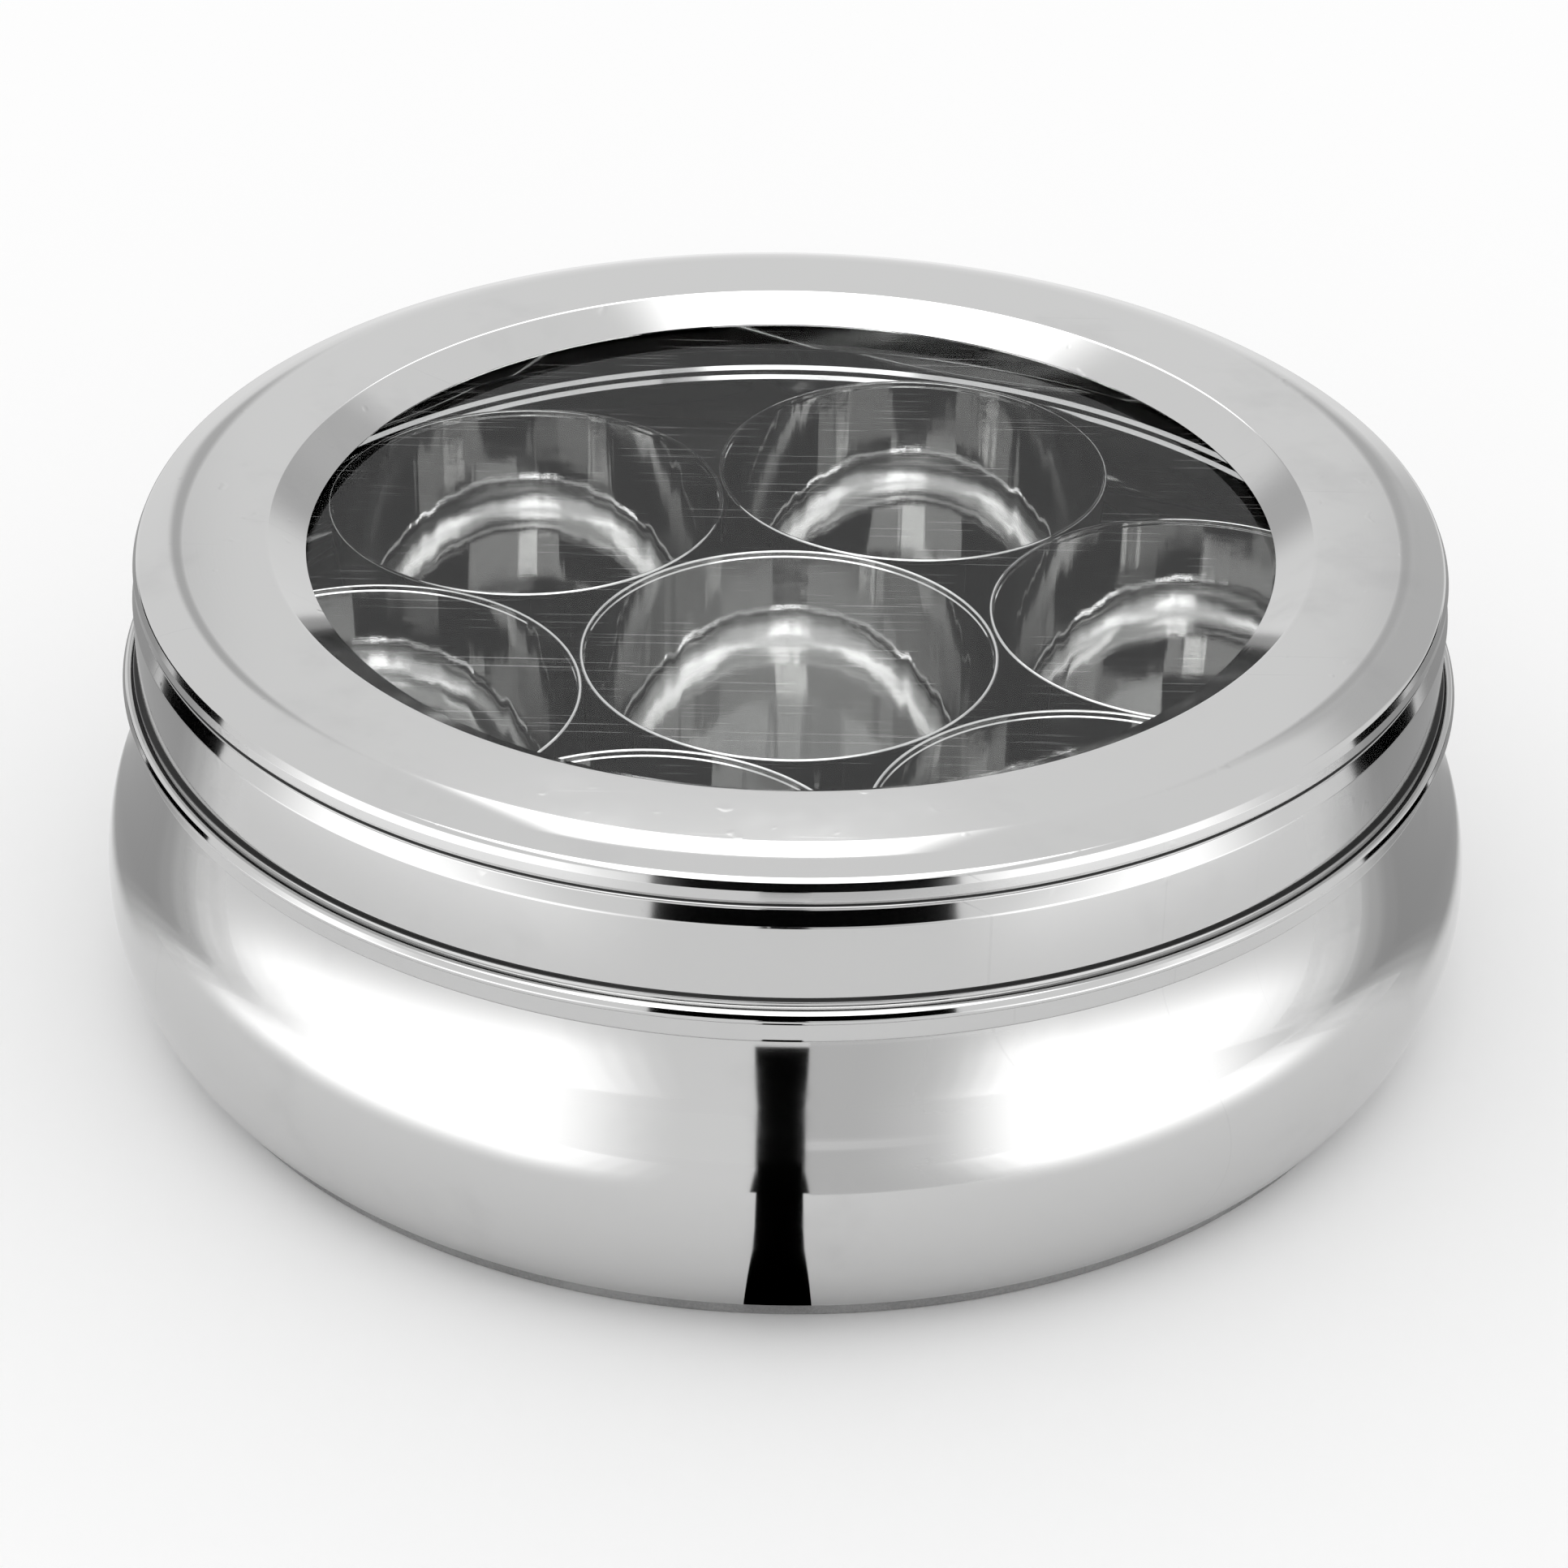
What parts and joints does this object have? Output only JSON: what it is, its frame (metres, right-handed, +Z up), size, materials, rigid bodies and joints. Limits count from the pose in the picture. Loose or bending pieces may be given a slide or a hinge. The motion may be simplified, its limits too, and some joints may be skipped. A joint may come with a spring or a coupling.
{
  "type": "spice box",
  "caption": "Round belly-shaped steel spice box with a see-through lift-off lid and loose round bowls inside.",
  "frame": {"origin": "middle of the flat resting face under the base pan", "axes": "+Z up along the axis of the round box, +X to the right, the front faces -Y"},
  "size_m": [0.21, 0.21, 0.0744],
  "materials": {
    "polished_steel": "polished",
    "matte_steel": "matte",
    "bowl_steel": "polished",
    "clear_acrylic": "clear"
  },
  "bodies": {
    "body": {"body_shell": "polished_steel", "base_pan": "matte_steel"},
    "lid": {"lid_ring": "polished_steel", "lid_window": "clear_acrylic"},
    "bowl_0_body": {"bowl_0": "bowl_steel"},
    "bowl_1_body": {"bowl_1": "bowl_steel"},
    "bowl_2_body": {"bowl_2": "bowl_steel"},
    "bowl_3_body": {"bowl_3": "bowl_steel"},
    "bowl_4_body": {"bowl_4": "bowl_steel"},
    "bowl_5_body": {"bowl_5": "bowl_steel"},
    "bowl_6_body": {"bowl_6": "bowl_steel"}
  },
  "joints": [
    {"name": "lid_lift", "type": "slide", "parent": "body", "child": "lid", "axis": [0, 0, 1], "range_m": [0, 0.18]},
    {"name": "bowl_0_lift", "type": "slide", "parent": "body", "child": "bowl_0_body", "axis": [0, 0, 1], "range_m": [0, 0.09]},
    {"name": "bowl_1_lift", "type": "slide", "parent": "body", "child": "bowl_1_body", "axis": [0, 0, 1], "range_m": [0, 0.09]},
    {"name": "bowl_2_lift", "type": "slide", "parent": "body", "child": "bowl_2_body", "axis": [0, 0, 1], "range_m": [0, 0.09]},
    {"name": "bowl_3_lift", "type": "slide", "parent": "body", "child": "bowl_3_body", "axis": [0, 0, 1], "range_m": [0, 0.09]},
    {"name": "bowl_4_lift", "type": "slide", "parent": "body", "child": "bowl_4_body", "axis": [0, 0, 1], "range_m": [0, 0.09]},
    {"name": "bowl_5_lift", "type": "slide", "parent": "body", "child": "bowl_5_body", "axis": [0, 0, 1], "range_m": [0, 0.09]},
    {"name": "bowl_6_lift", "type": "slide", "parent": "body", "child": "bowl_6_body", "axis": [0, 0, 1], "range_m": [0, 0.09]}
  ],
  "couplings": [
    {"joint": "bowl_0_lift", "follows": "lid_lift", "ratio": 0.5},
    {"joint": "bowl_1_lift", "follows": "lid_lift", "ratio": 0.5},
    {"joint": "bowl_2_lift", "follows": "lid_lift", "ratio": 0.5},
    {"joint": "bowl_3_lift", "follows": "lid_lift", "ratio": 0.5},
    {"joint": "bowl_4_lift", "follows": "lid_lift", "ratio": 0.5},
    {"joint": "bowl_5_lift", "follows": "lid_lift", "ratio": 0.5},
    {"joint": "bowl_6_lift", "follows": "lid_lift", "ratio": 0.5}
  ]
}
